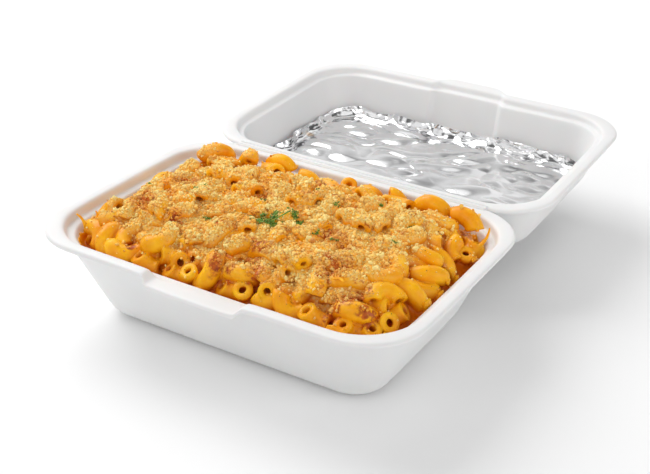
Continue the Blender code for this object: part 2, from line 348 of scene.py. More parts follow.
def foil_material():
    metal = Recipe("kitchen_foil")
    place = metal.place()
    smear = metal.spread(metal.noise(30.0, 3.0, 0.5, place), 0.45, 0.62)
    tint = metal.mix(smear, (0.86, 0.86, 0.865), (0.76, 0.76, 0.77))
    for beyond_middle, reach in FOIL_SMEARS:
        spot = foil_point(0, 0) + Vector((-FOIL_FLOOR_X, beyond_middle, FOIL_EDGE_HEIGHT / 3))
        away = metal.node("ShaderNodeVectorMath", operation="DISTANCE")
        metal.join(place, away.inputs[0])
        away.inputs[1].default_value = tilted @ spot
        stained = metal.spread(away.outputs["Value"], reach * 0.4, reach, 0.85, 0.0)
        tint = metal.mix(stained, tint, FOIL_SMEAR_COLOUR)
    metal.colour(tint)
    metal.roughness(metal.spread(metal.noise(55.0, 4.0, 0.6, place), 0.35, 0.65, 0.10, 0.20))
    metal.bump(metal.noise(160.0, 3.0, 0.6, place), 0.00016, 0.35)
    return metal.fixed(Metallic=1.0)


foil.data.materials.append(foil_material())
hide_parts("foil_liner")
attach(foil, "cover")

# The pasta: elbow macaroni, boiled, coated in cheese sauce and piled in the tray until it stands
# over the rim. Each elbow is a short curved tube with cut ends, and no two bend quite alike.
ELBOW_KINDS = (
    # outer radius, bend radius, turn in degrees, bore as a share of the outer radius
    (0.0052, 0.0085, 135, 0.46),
    (0.0049, 0.0074, 160, 0.45),
    (0.0054, 0.0100, 95, 0.48),
    (0.0047, 0.0080, 120, 0.44),
    (0.0056, 0.0078, 140, 0.46),
)
ELBOW_COUNT = 172
ELBOW_SIDES = 16
ELBOW_STEPS = 12
ELBOW_SEED = 11
PILE_STEPS = 260
PILE_BALLS = 5
PILE_SQUEEZE = 0.90
CORE_DEPTH = 0.0130
HEAP_ALLOW = (-0.0030, 0.0026)

BACK_ELBOWS = 9
BACK_ELBOW_OVER = (0.005, 0.011)

food_low, food_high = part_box("mac_and_cheese")
tray_low, tray_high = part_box("tray")
rim_level = tray_high.z


def merged_tree(node):
    """A search tree over a CAD node's own triangles."""
    shape = bmesh.new()
    shape.from_mesh(frame["nodes"][node].data)
    tree = BVHTree.FromBMesh(shape)
    shape.free()
    return tree


class Level:
    """The height of a surface seen from above, read from a grid of rays."""

    def __init__(self, trees, low, high, cell, missing):
        self.low, self.cell = low, cell
        self.columns = int((high.x - low.x) / cell) + 2
        self.rows = int((high.y - low.y) / cell) + 2
        self.grid = np.full((self.columns, self.rows), missing)
        for column in range(self.columns):
            for row in range(self.rows):
                start = Vector((low.x + column * cell, low.y + row * cell, high.z + 0.05))
                hits = [tree.ray_cast(start, Vector((0, 0, -1)))[0] for tree in trees]
                heights = [hit.z for hit in hits if hit]
                if heights:
                    self.grid[column, row] = max(heights)

    def smooth(self, times):
        for _ in range(times):
            padded = np.pad(self.grid, 1, mode="edge")
            self.grid = (padded[:-2, 1:-1] + padded[2:, 1:-1] + padded[1:-1, :-2] + padded[1:-1, 2:]
                         + 4 * self.grid) / 8
        return self

    def at(self, x, y):
        u = np.clip((np.asarray(x) - self.low.x) / self.cell, 0, self.columns - 1.001)
        v = np.clip((np.asarray(y) - self.low.y) / self.cell, 0, self.rows - 1.001)
        i, j = u.astype(int), v.astype(int)
        a, b = u - i, v - j
        g = self.grid
        return ((g[i, j] * (1 - a) + g[i + 1, j] * a) * (1 - b)
                + (g[i, j + 1] * (1 - a) + g[i + 1, j + 1] * a) * b)


heap = Level([merged_tree("mac_and_cheese")], food_low, food_high, 0.003, rim_level - 0.008).smooth(10)


def inside_tray(points, radius):
    """How far points lie outside the tray's inner wall at their height, and the way back in."""
    depth = np.clip(rim_level - points[:, 2], 0.0, 0.06)
    inset = 0.0127 + 0.39 * depth
    half_x = tray_high.x - inset - radius
    half_y = LID_HALF_DEPTH - inset - radius
    corner = 0.020
    qx = np.abs(points[:, 0]) - (half_x - corner)
    qy = np.abs(points[:, 1]) - (half_y - corner)
    ox, oy = np.maximum(qx, 0), np.maximum(qy, 0)
    length = np.hypot(ox, oy)
    out = length + np.minimum(np.maximum(qx, qy), 0) - corner
    nx = np.where(length > 1e-9, ox / np.maximum(length, 1e-9), (qx > qy) * 1.0)
    ny = np.where(length > 1e-9, oy / np.maximum(length, 1e-9), (qy >= qx) * 1.0)
    return out, np.sign(points[:, 0]) * nx, np.sign(points[:, 1]) * ny


def random_turns(draw, count):
    """Rotation matrices in every direction."""
    u, _, vt = np.linalg.svd(draw.normal(size=(count, 3, 3)))
    turns = u @ vt
    turns[np.linalg.det(turns) < 0, :, 0] *= -1
    return turns


def pile_elbows():
    """Lets the elbows settle on the core: each is a few balls on a stiff arc, pushed apart by its
    neighbours and the wall and drawn down to the heap's own surface."""
    draw = np.random.default_rng(ELBOW_SEED)
    kinds = draw.integers(0, len(ELBOW_KINDS), ELBOW_COUNT)
    arcs, radii = [], []
    for kind in kinds:
        radius, bend, turn, _ = ELBOW_KINDS[kind]
        angles = np.radians(np.linspace(-turn / 2, turn / 2, PILE_BALLS))
        arc = np.stack([bend * np.cos(angles), bend * np.sin(angles), np.zeros(PILE_BALLS)], 1)
        arcs.append(arc)
        radii.append(radius)
    middles = np.array([arc.mean(0) for arc in arcs])
    arcs = np.array(arcs) - middles[:, None, :]
    radii = np.repeat(np.array(radii), PILE_BALLS)
    columns = int(math.sqrt(ELBOW_COUNT * 1.45)) + 1
    order = draw.permutation(ELBOW_COUNT)
    places = np.zeros((ELBOW_COUNT, 3))
    rows = math.ceil(ELBOW_COUNT / columns)
    for number, which in enumerate(order):
        u = (number % columns + 0.5) / columns * 2 - 1
        v = (number // columns + 0.5) / rows * 2 - 1
        places[which, 0] = u * 0.094 + draw.uniform(-0.004, 0.004)
        places[which, 1] = v * 0.062 + draw.uniform(-0.004, 0.004)
    places[:, 2] = heap.at(places[:, 0], places[:, 1]) - 0.004 + draw.uniform(-0.003, 0.008, ELBOW_COUNT)
    turns = random_turns(draw, ELBOW_COUNT)
    allow = draw.uniform(*HEAP_ALLOW, ELBOW_COUNT)
    weight = np.ones(ELBOW_COUNT)
    for number in range(BACK_ELBOWS):
        across = 2 * (number + 0.5) / BACK_ELBOWS - 1
        x = across * food_high.x * 0.92 + draw.uniform(-0.003, 0.003)
        y = food_high.y * (0.90 - 0.12 * across ** 4)
        about, lean = draw.uniform(0, 180), draw.uniform(60, 90)
        over = draw.uniform(*BACK_ELBOW_OVER)
        places[number] = (x, y, heap.at(x, y) + over - 0.006)
        turned = Matrix.Rotation(math.radians(about), 3, "Z") @ Matrix.Rotation(math.radians(lean), 3, "Y")
        turns[number] = np.array(turned @ Matrix.Rotation(math.pi, 3, "Z"))
        allow[number] = over
        weight[number] = 0.12
    balls = np.einsum("nij,nkj->nki", turns, arcs) + places[:, None, :]
    owner = np.repeat(np.arange(ELBOW_COUNT), PILE_BALLS)
    reach = (radii[:, None] + radii[None, :]) * PILE_SQUEEZE
    other = owner[:, None] != owner[None, :]
    allow = np.repeat(allow, PILE_BALLS)
    weight = np.repeat(weight, PILE_BALLS)[:, None]
    for step in range(PILE_STEPS):
        points = balls.reshape(-1, 3)
        pull = 0.00035 * (1 - step / PILE_STEPS)
        points[:, 2] -= pull * weight[:, 0]
        gap = points[:, None, :] - points[None, :, :]
        apart = np.sqrt((gap ** 2).sum(2)) + 1e-9
        press = np.where(other & (apart < reach), (reach - apart) / apart, 0.0)
        push = (gap * press[:, :, None]).sum(1) * 0.30
        points += np.clip(push, -0.0015, 0.0015) * weight
        top = heap.at(points[:, 0], points[:, 1])
        points[:, 2] = np.maximum(points[:, 2], top - CORE_DEPTH + radii * 0.4)
        points[:, 2] = np.minimum(points[:, 2], np.minimum(top + allow, food_high.z - 0.0004) - radii)
        out, nx, ny = inside_tray(points, radii)
        over = np.maximum(out, 0)
        points[:, 0] -= nx * over
        points[:, 1] -= ny * over
        balls = points.reshape(ELBOW_COUNT, PILE_BALLS, 3)
        middle = balls.mean(1)
        spread = np.einsum("nki,nkj->nij", balls - middle[:, None, :], arcs)
        spread += 1e-9 * turns
        u, _, vt = np.linalg.svd(spread)
        fix = np.ones((ELBOW_COUNT, 3))
        fix[:, 2] = np.linalg.det(u @ vt)
        turns = (u * fix[:, None, :]) @ vt
        balls = np.einsum("nij,nkj->nki", turns, arcs) + middle[:, None, :]
    return kinds, middles, turns, balls.mean(1)


def elbow(kind, number):
    """One elbow, its bend in the XY plane: a ring spun round the bend and given a wall."""
    radius, bend, turn, bore = kind
    bpy.ops.object.select_all(action="DESELECT")
    bpy.ops.mesh.primitive_circle_add(vertices=ELBOW_SIDES, radius=radius * 0.94, location=(0, 0, 0))
    made = bpy.context.object
    made.name = f"elbow_{number}"
    bpy.ops.object.mode_set(mode="EDIT")
    bpy.ops.mesh.select_all(action="SELECT")
    bpy.ops.transform.rotate(value=math.radians(90), orient_axis="X", center_override=(0, 0, 0))
    bpy.ops.transform.translate(value=(bend, 0, 0))
    half = math.radians(turn) / 2
    bpy.ops.transform.rotate(value=-half, orient_axis="Z", center_override=(0, 0, 0))
    bpy.ops.mesh.spin(steps=ELBOW_STEPS, angle=math.radians(turn), center=(0, 0, 0), axis=(0, 0, 1))
    bpy.ops.mesh.select_all(action="SELECT")
    bpy.ops.mesh.normals_make_consistent(inside=False)
    bpy.ops.object.mode_set(mode="OBJECT")
    apply_modifier(made, "SOLIDIFY", thickness=radius * (1 - bore), offset=-1.0, use_even_offset=True)
    return made


def mesh_arrays(piece):
    """A mesh's points and its points' normals."""
    mesh = piece.data
    points = np.empty(len(mesh.vertices) * 3)
    mesh.vertices.foreach_get("co", points)
    normals = np.empty(len(mesh.vertices) * 3)
    mesh.vertices.foreach_get("normal", normals)
    return points.reshape(-1, 3), normals.reshape(-1, 3)


def set_points(piece, points):
    piece.data.vertices.foreach_set("co", np.asarray(points, np.float32).ravel())
    piece.data.update()


def copies(name, shapes, which, turns, places, sizes=None):
    """One mesh of many copies: shape number which[k], turned, sized and moved to places[k]."""
    points, corners, totals, start = [], [], [], 0
    parts = []
    for shape in shapes:
        own = mesh_arrays(shape)[0]
        loops = np.empty(len(shape.data.loops), int)
        shape.data.loops.foreach_get("vertex_index", loops)
        faces = np.empty(len(shape.data.polygons), int)
        shape.data.polygons.foreach_get("loop_total", faces)
        parts.append((own, loops, faces))
    for number, kind in enumerate(which):
        own, loops, faces = parts[kind]
        size = 1.0 if sizes is None else sizes[number]
        points.append((own * size) @ turns[number].T + places[number])
        corners.append(loops + start)
        totals.append(faces)
        start += len(own)
    points, corners, totals = np.concatenate(points), np.concatenate(corners), np.concatenate(totals)
    mesh = bpy.data.meshes.new(name)
    mesh.vertices.add(len(points))
    mesh.loops.add(len(corners))
    mesh.polygons.add(len(totals))
    mesh.vertices.foreach_set("co", points.astype(np.float32).ravel())
    mesh.loops.foreach_set("vertex_index", corners.astype(np.int32))
    mesh.polygons.foreach_set("loop_start", (np.cumsum(totals) - totals).astype(np.int32))
    mesh.update(calc_edges=True)
    mesh.validate()
    made = bpy.data.objects.new(name, mesh)
    bpy.context.scene.collection.objects.link(made)
    return made


def discard(*pieces):
    for piece in pieces:
        mesh = piece.data
        bpy.data.objects.remove(piece)
        bpy.data.meshes.remove(mesh)


def clump(points, scale, seed=0.0):
    """Smooth noise from 0 to 1 at each point."""
    shift = Vector((seed, seed * 1.7, seed * 0.3))
    return np.array([noise.noise(Vector(point) * scale + shift) for point in points]) * 0.5 + 0.5


def step(value, low, high):
    t = np.clip((value - low) / (high - low), 0, 1)
    return t * t * (3 - 2 * t)


kinds, middles, turns, centres = pile_elbows()
elbow_shapes = [elbow(kind, number) for number, kind in enumerate(ELBOW_KINDS)]
for number, shape in enumerate(elbow_shapes):
    set_points(shape, mesh_arrays(shape)[0] - middles[list(kinds).index(number)])
macaroni = copies("macaroni", elbow_shapes, kinds, turns, centres)
discard(*elbow_shapes)

# The sauce that clings to the pasta: a skin of a few tenths of a millimetre, thicker in some places
# and thinner in others, so that no elbow keeps its clean factory outline.
COAT = 0.00035
COAT_CLUMPS = 160.0
points, normals = mesh_arrays(macaroni)
uneven = clump(points, COAT_CLUMPS, 3.0) - 0.45
set_points(macaroni, points + normals * (uneven * 2 * COAT)[:, None])
macaroni.data.shade_smooth()

# The cheese sauce between the elbows: melted cheddar and milk, poured over and baked in. It fills
# the tray below the pasta and bridges the gaps, lower along the wall than in the middle.
SAUCE_CELL = 0.00125
SAUCE_UNDER = 0.0006
CORE_DROP = (0.0120, 0.0052)
core = merged_copy("mac_and_cheese", "sauce")
apply_modifier(core, "SUBSURF", levels=2, render_levels=2, subdivision_type="SIMPLE")
points, normals = mesh_arrays(core)
top = normals[:, 2] > 0.35
from_wall = -inside_tray(points[top], 0.0)[0]
drop = CORE_DROP[0] + (CORE_DROP[1] - CORE_DROP[0]) * step(from_wall, 0.012, 0.036)
points[top, 2] = np.minimum(points[top, 2], heap.at(points[top, 0], points[top, 1]) - drop)
set_points(core, points)
thin = bpy.data.objects.new("thin_macaroni", macaroni.data.copy())
bpy.context.scene.collection.objects.link(thin)
points, normals = mesh_arrays(thin)
set_points(thin, points - normals * SAUCE_UNDER)
only(core)
thin.select_set(True)
bpy.ops.object.join()
sauce = core
apply_modifier(sauce, "REMESH", mode="VOXEL", voxel_size=SAUCE_CELL)
apply_modifier(sauce, "SMOOTH", factor=0.5, iterations=3)
sauce.data.shade_smooth()

# The finish of sauce and pasta: glossy cheddar sauce, with painted shade, a darker orange, in the
# gaps that lie deep below the heap's surface. The crumb carpet over the middle browned in spots, and the
# pasta along the wall stays bare.
TOASTED_COUNT = 22
TOASTED_REACH = (0.004, 0.010)
TOASTED_SEED = 9
draw = random.Random(TOASTED_SEED)
toasted = []
for _ in range(TOASTED_COUNT):
    x = draw.uniform(-0.92, 0.92) * food_high.x
    y = draw.uniform(-0.88, 0.80) * food_high.y
    toasted.append((x, y, draw.uniform(*TOASTED_REACH)))
FRONT_BARE = 0.022
RIGHT_BARE = 0.036
LEFT_BARE = 0.012
BACK_BARE = 0.030


def crumb_share(points):
    """How thickly the crumbs lie at each point: thick over the middle, thin towards the wall."""
    x, y = points[:, 0], points[:, 1]
    front = step(y + 0.069 + 0.10 * np.minimum(x, 0), FRONT_BARE * 0.35, FRONT_BARE)
    right = step(0.100 - x, RIGHT_BARE * 0.35, RIGHT_BARE)
    left = step(x + 0.100, LEFT_BARE * 0.3, LEFT_BARE)
    behind = step(0.069 - y, BACK_BARE * 0.35, BACK_BARE)
    return front * right * left * behind


def paint(piece):
    """Stores on a food piece, point by point, how crumbed and how browned it is, and how much painted shade
    it gets where it lies below the heap's surface.
    """
    points, normals = mesh_arrays(piece)
    broken = clump(points, 90.0, 5.0)
    fine = clump(points, 300.0, 9.0)
    crumbs = crumb_share(points) * step(normals[:, 2], -0.1, 0.5) * step(broken + 0.25 * fine, 0.42, 0.62)
    browned = np.zeros(len(points))
    for x, y, reach in toasted:
        away = np.hypot(points[:, 0] - x, points[:, 1] - y) / reach
        browned = np.maximum(browned, 1.2 - away + 0.9 * (fine - 0.5))
    high = points[:, 2] - heap.at(points[:, 0], points[:, 1])
    spots = step(clump(points, 120.0, 17.0), 0.64, 0.76) * step(high, -0.0035, 0.0005) * crumb_share(points)
    browned = np.maximum(step(browned, 0.2, 1.0), spots * 0.8) * step(normals[:, 2], -0.2, 0.4)
    # Painted shade: points 3.5 to 10.5 mm below the heap's smoothed surface, in the gaps, are marked for a
    # darker orange.
    painted_gap_shade = step(-high, 0.0035, 0.0105)
    for name, values in (("crumbs", crumbs), ("browned", browned), ("painted_gap_shade", painted_gap_shade)):
        stored = piece.data.attributes.new(name, "FLOAT", "POINT")
        stored.data.foreach_set("value", values.astype(np.float32))


CHEESE_BRIGHT = (1.00, 0.52, 0.008)
CHEESE_DEEP = (0.88, 0.32, 0.003)
# The painted shade colour: a dark orange put into the gaps deep in the heap.
CHEESE_PAINTED_SHADE = (0.62, 0.145, 0.001)
CRUMB_PALE = (1.00, 0.82, 0.33)
# Gold crumb colour; on the sauce it also serves as painted shade in the gaps between the grains.
CRUMB_GOLD_AND_GAP_SHADE = (1.00, 0.52, 0.065)
BROWN = (0.58, 0.125, 0.010)
DARK_BROWN = (0.29, 0.045, 0.006)


def stored_value(recipe, name):
    return recipe.node("ShaderNodeAttribute", attribute_name=name).outputs["Fac"]


def cheese_material(name):
    cheese = Recipe(name)
    place = cheese.place()
    streaks = cheese.spread(cheese.noise(70.0, 3.0, 0.6, place), 0.35, 0.65)
    body = cheese.mix(streaks, CHEESE_DEEP, CHEESE_BRIGHT)
    # Painted shade: the sauce turns a darker orange where the point lies deep below the heap's surface.
    body = cheese.mix(stored_value(cheese, "painted_gap_shade"), body, CHEESE_PAINTED_SHADE)
    # The crumb carpet painted on the sauce: pale at the middle of each grain and gold towards its edge; the
    # gold is partly the crumbs' own colour and partly painted shade in the gaps between grains.
    grain = cheese.cells(650.0, "F1", place)
    crumbs = cheese.mix(cheese.spread(grain, 0.1, 0.75), CRUMB_PALE, CRUMB_GOLD_AND_GAP_SHADE)
    covered = cheese.mix(stored_value(cheese, "crumbs"), body, crumbs)
    burnt = cheese.mix(cheese.spread(cheese.noise(260.0, 3.0, 0.6, place), 0.4, 0.66), BROWN, DARK_BROWN)
    eaten = cheese.node("ShaderNodeMath", operation="MULTIPLY")
    cheese.join(stored_value(cheese, "browned"), eaten.inputs[0])
    cheese.join(cheese.spread(cheese.noise(380.0, 4.0, 0.65, place), 0.36, 0.58, 0.15, 1.5), eaten.inputs[1])
    cheese.colour(cheese.mix(cheese.spread(eaten.outputs[0], 0.15, 0.85), covered, burnt))
    gloss = cheese.spread(cheese.noise(180.0, 2.0, 0.5, place), 0.35, 0.65, 0.24, 0.40)
    dull = cheese.node("ShaderNodeMath", operation="MAXIMUM")
    cheese.join(gloss, dull.inputs[0])
    cheese.join(cheese.spread(stored_value(cheese, "crumbs"), 0.0, 1.0, 0.2, 0.72), dull.inputs[1])
    cheese.roughness(dull.outputs[0])
    rough = cheese.bump(cheese.noise(500.0, 3.0, 0.6, place), 0.00022, 0.5)
    lumps = cheese.node("ShaderNodeMath", operation="MULTIPLY")
    cheese.join(grain, lumps.inputs[0])
    cheese.join(stored_value(cheese, "crumbs"), lumps.inputs[1])
    cheese.bump(lumps.outputs[0], -0.0009, 1.0, rough)
    return cheese.fixed(Subsurface_Weight=0.08, Subsurface_Radius=(1.0, 0.55, 0.08), Subsurface_Scale=0.002,
                        Specular_IOR_Level=0.22)


cheese = cheese_material("cheese_coated")
for piece in (sauce, macaroni):
    paint(piece)
    piece.data.materials.clear()
    piece.data.materials.append(cheese)
    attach(piece, "base")
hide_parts("mac_and_cheese")

# The crumb topping: dry white bread broken small, tossed in butter and strewn before baking. Most
# is dust and grains of up to two millimetres, some is flakes, and each bit is a rough lump.
GRAIN_COUNT = 9400
DUST_COUNT = 21000
FLAKE_COUNT = 2000
DUST_SIZE = (0.00022, 0.00045)
GRAIN_SIZE = (0.00042, 0.00085)
FLAKE_SIZE = (0.0008, 0.0016)
CRUMB_SEED = 23


def crumb_shapes(name, rings, number, flat, seed):
    """A few rough lumps, each an icosphere whose points are pushed in and out."""
    draw = np.random.default_rng(seed)
    shapes = []
    for each in range(number):
        bpy.ops.object.select_all(action="DESELECT")
        if rings:
            bpy.ops.mesh.primitive_ico_sphere_add(subdivisions=rings, radius=1.0)
        else:
            bpy.ops.mesh.primitive_cone_add(vertices=5, radius1=1.0, radius2=0.0, depth=1.6)
        made = bpy.context.object
        made.name = f"{name}_{each}"
        points = mesh_arrays(made)[0]
        points = points * draw.uniform(0.62, 1.25, (len(points), 1)) * draw.uniform(0.75, 1.2, 3)
        points[:, 2] *= flat
        set_points(made, points)
        shapes.append(made)
    return shapes


def landing_places(trees, draw, count, share, tries=40):
    """Places where falling bits come to rest, taken where share(points) lets them."""
    found, ways = [], []
    for _ in range(count * tries):
        start = Vector((draw.uniform(-0.101, 0.101), draw.uniform(-0.069, 0.070), food_high.z + 0.01))
        hits = [tree.ray_cast(start, Vector((0, 0, -1))) for tree in trees]
        hits = [hit for hit in hits if hit[0]]
        if not hits:
            continue
        hit = max(hits, key=lambda one: one[0].z)
        if hit[1].z < 0.25:
            continue
        if draw.uniform() < share(hit[0]):
            found.append(hit[0])
            ways.append(hit[1])
        if len(found) == count:
            break
    return np.array(found), np.array(ways)


def tree_of(piece):
    shape = bmesh.new()
    shape.from_mesh(piece.data)
    tree = BVHTree.FromBMesh(shape)
    shape.free()
    return tree


def crumb_chance(place):
    share = crumb_share(np.array([place]))[0]
    loose = 0.5 + 0.5 * noise.noise(place * 90.0 + Vector((5.0, 8.5, 1.5)))
    fine = 0.5 + 0.5 * noise.noise(place * 330.0)
    return 0.06 * min(1.0, share + 0.4) + share * (0.45 + 1.2 * max(0.0, loose + 0.3 * fine - 0.50))


def crumb_material(name, pale, gold, brown_share):
    crumb = Recipe(name)
    tint = stored_value(crumb, "tint")
    colour = crumb.mix(crumb.spread(tint, 0.25, 0.75), pale, gold)
    toasted = crumb.mix(crumb.spread(crumb.noise(500.0, 2.0), 0.45, 0.65), BROWN, CRUMB_GOLD_AND_GAP_SHADE)
    browned = crumb.spread(stored_value(crumb, "browned"), 0.2, 1.0, 0.0, brown_share)
    colour = crumb.mix(browned, colour, toasted)
    crumb.colour(colour)
    crumb.roughness(crumb.spread(crumb.noise(1500.0), 0.3, 0.7, 0.55, 0.8))
    crumb.bump(crumb.noise(2600.0, 3.0, 0.7), 0.0002, 0.5)
    return crumb.fixed(Subsurface_Weight=0.12, Subsurface_Radius=(1.0, 0.6, 0.25), Subsurface_Scale=0.001,
                       Specular_IOR_Level=0.25)


def scatter_crumbs(name, count, sizes, rings, shapes, flat, sink, pale, gold, seed):
    draw = np.random.default_rng(seed)
    lumps = crumb_shapes(name, rings, shapes, flat, seed)
    places, ways = landing_places(surface, draw, count, crumb_chance)
    number = len(places)
    reach = draw.uniform(0, 1, number) ** 2 * (sizes[1] - sizes[0]) + sizes[0]
    places = places + ways * (reach * sink)[:, None]
    places[:, 2] = np.minimum(places[:, 2], food_high.z - reach * 1.6)
    made = copies(name, lumps, draw.integers(0, shapes, number), random_turns(draw, number), places, reach)
    each = len(mesh_arrays(lumps[0])[0])
    discard(*lumps)
    browned = np.zeros(number)
    for x, y, size in toasted:
        away = np.hypot(places[:, 0] - x, places[:, 1] - y) / size
        browned = np.maximum(browned, step(1.5 - away, 0.0, 0.7))
    browned = np.maximum(browned * draw.uniform(0.5, 1.0, number), (draw.uniform(0, 1, number) > 0.95) * 0.7)
    baked = clump(places, 70.0, 31.0) * 0.9 + clump(places, 260.0, 12.0) * 0.5 - 0.2
    browned = np.maximum(browned, step(baked, 0.58, 0.70) * draw.uniform(0.2, 0.8, number))
    tint = np.clip(0.45 * baked + 0.5 * draw.uniform(0, 1, number), 0, 1)
    for label, values in (("tint", tint), ("browned", browned)):
        stored = made.data.attributes.new(label, "FLOAT", "POINT")
        stored.data.foreach_set("value", np.repeat(values, each).astype(np.float32))
    made.data.materials.append(crumb_material(name, pale, gold, 1.0))
    made.data.shade_smooth()
    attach(made, "base")
    return made


surface = [tree_of(sauce), tree_of(macaroni)]
scatter_crumbs("crumb_dust", DUST_COUNT, DUST_SIZE, 0, 8, 1.0, 0.30, CRUMB_PALE, CRUMB_GOLD_AND_GAP_SHADE, CRUMB_SEED + 2)
scatter_crumbs("crumb_grains", GRAIN_COUNT, GRAIN_SIZE, 1, 8, 1.0, 0.35, CRUMB_PALE, CRUMB_GOLD_AND_GAP_SHADE, CRUMB_SEED)
scatter_crumbs("crumb_flakes", FLAKE_COUNT, FLAKE_SIZE, 2, 8, 0.7, 0.3, CRUMB_PALE, CRUMB_GOLD_AND_GAP_SHADE,
               CRUMB_SEED + 1)
# The parsley: curled leaf, chopped and dropped on last. One small sprig keeps its stalks and its
# crisp frilled leaflets, and the rest are single torn bits.
SPRIG_AT = (0.010, -0.015)
PARSLEY_BITS = 18
PARSLEY_SPREAD = (0.045, 0.028)
PARSLEY_SIZE = (0.0012, 0.0029)
LEAF_STALK = 0.00035
PARSLEY_SEED = 5
LEAF_DARK = (0.070, 0.190, 0.012)
LEAF_LIGHT = (0.200, 0.380, 0.035)


def leaflet(name, lobes, seed):
    """One frilled leaflet about 2 across, lying in the XY plane: a notched fan, cupped and curled."""
    draw = random.Random(seed)
    bpy.ops.object.select_all(action="DESELECT")
    bpy.ops.mesh.primitive_circle_add(vertices=lobes * 4, radius=1.0, fill_type="TRIFAN")
    made = bpy.context.object
    made.name = name
    bpy.ops.object.mode_set(mode="EDIT")
    bpy.ops.mesh.select_all(action="SELECT")
    bpy.ops.mesh.subdivide(number_cuts=1)
    bpy.ops.object.mode_set(mode="OBJECT")
    for point in made.data.vertices:
        x, y = point.co.x, point.co.y
        reach = math.hypot(x, y)
        about = math.atan2(y, x)
        frill = 0.70 + 0.30 * math.cos(lobes * about) + draw.uniform(-0.08, 0.08)
        far = reach * (1 - (1 - frill) * reach)
        curl = 0.34 * reach * reach * math.sin(lobes * about * 1.5 + 1.0) + 0.25 * reach * reach
        point.co = (far * math.cos(about) * 1.15, far * math.sin(about), curl + draw.uniform(-0.05, 0.05))
    apply_modifier(made, "SOLIDIFY", thickness=0.10, offset=0.0)
    return made


def standing_at(x, y):
    """The food's own surface under a place."""
    start = Vector((x, y, food_high.z + 0.01))
    hits = [tree.ray_cast(start, Vector((0, 0, -1)))[0] for tree in surface]
    return max((hit for hit in hits if hit), key=lambda hit: hit.z)


draw = random.Random(PARSLEY_SEED)
leaf_shapes = [leaflet(f"leaflet_{number}", 4 + number % 2, number) for number in range(4)]
leaf_places, leaf_turns, leaf_sizes, leaf_kinds = [], [], [], []
stalks = []


def drop_leaf(place, size, tilt):
    leaf_places.append((place.x, place.y, min(place.z, food_high.z - size * 1.9)))
    turned = Matrix.Rotation(draw.uniform(0, 2 * math.pi), 3, "Z")
    turned = turned @ Matrix.Rotation(draw.uniform(-tilt, tilt), 3, "X")
    leaf_turns.append(np.array(turned @ Matrix.Rotation(draw.uniform(-tilt, tilt), 3, "Y")))
    leaf_sizes.append(size)
    leaf_kinds.append(draw.randrange(len(leaf_shapes)))


root = standing_at(SPRIG_AT[0] - 0.004, SPRIG_AT[1] - 0.006)
root.z = min(root.z + 0.0010, food_high.z - 0.0012)
for branch in range(7):
    about = math.radians(20 + branch * 38 + draw.uniform(-12, 12))
    length = draw.uniform(0.0040, 0.0115)
    tip = Vector((SPRIG_AT[0], SPRIG_AT[1], 0)) + length * Vector((math.cos(about), math.sin(about), 0))
    tip.z = min(standing_at(tip.x, tip.y).z + draw.uniform(0.0012, 0.0026), food_high.z - 0.0012)
    stalks.append((root, (root + tip) / 2 + Vector((0, 0, 0.0005)), tip))
    for frond in range(6):
        near = tip + Vector([draw.gauss(0, 0.0016) for _ in range(3)])
        near.z = max(near.z, standing_at(near.x, near.y).z + 0.0006)
        drop_leaf(near, draw.uniform(0.0010, 0.0018), 0.9)
for _ in range(PARSLEY_BITS):
    x = max(-0.85, min(0.85, draw.gauss(0, PARSLEY_SPREAD[0]) / food_high.x)) * food_high.x
    y = max(-0.80, min(0.80, draw.gauss(0, PARSLEY_SPREAD[1]) / food_high.y)) * food_high.y
    size = draw.uniform(*PARSLEY_SIZE)
    middle = standing_at(x, y)
    for each in range(3 if size > 0.0019 else 2):
        near = middle + Vector((draw.gauss(0, size * 0.45), draw.gauss(0, size * 0.45), 0))
        near.z = standing_at(near.x, near.y).z + 0.0005
        drop_leaf(near, size * draw.uniform(0.40, 0.62), 0.7)
parsley = copies("parsley", leaf_shapes, leaf_kinds, leaf_turns, np.array(leaf_places), leaf_sizes)
discard(*leaf_shapes)
for number, way_points in enumerate(stalks):
    line = bpy.data.curves.new(f"stalk_{number}", "CURVE")
    line.dimensions = "3D"
    line.bevel_depth = LEAF_STALK
    line.bevel_resolution = 1
    run = line.splines.new("NURBS")
    run.points.add(len(way_points) - 1)
    for spot, place in zip(run.points, way_points):
        spot.co = (*place, 1.0)
    run.use_endpoint_u = True
    run.order_u = 3
    stalk = bpy.data.objects.new(f"stalk_{number}", line)
    bpy.context.scene.collection.objects.link(stalk)
    only(stalk)
    bpy.ops.object.convert(target="MESH")
    stalk = bpy.context.object
    only(parsley)
    stalk.select_set(True)
    bpy.ops.object.join()
green = Recipe("parsley_green")
patches = green.spread(green.noise(700.0, 2.0), 0.35, 0.65)
shade = green.mix(patches, LEAF_DARK, LEAF_LIGHT)
green.colour(shade)
green.roughness(green.spread(green.noise(1200.0), 0.3, 0.7, 0.40, 0.6))
green.bump(green.noise(2400.0, 2.0), 0.0001, 0.6)
parsley.data.materials.clear()
parsley.data.materials.append(green.fixed(Subsurface_Weight=0.1, Subsurface_Scale=0.001))
parsley.data.shade_smooth()
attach(parsley, "base")

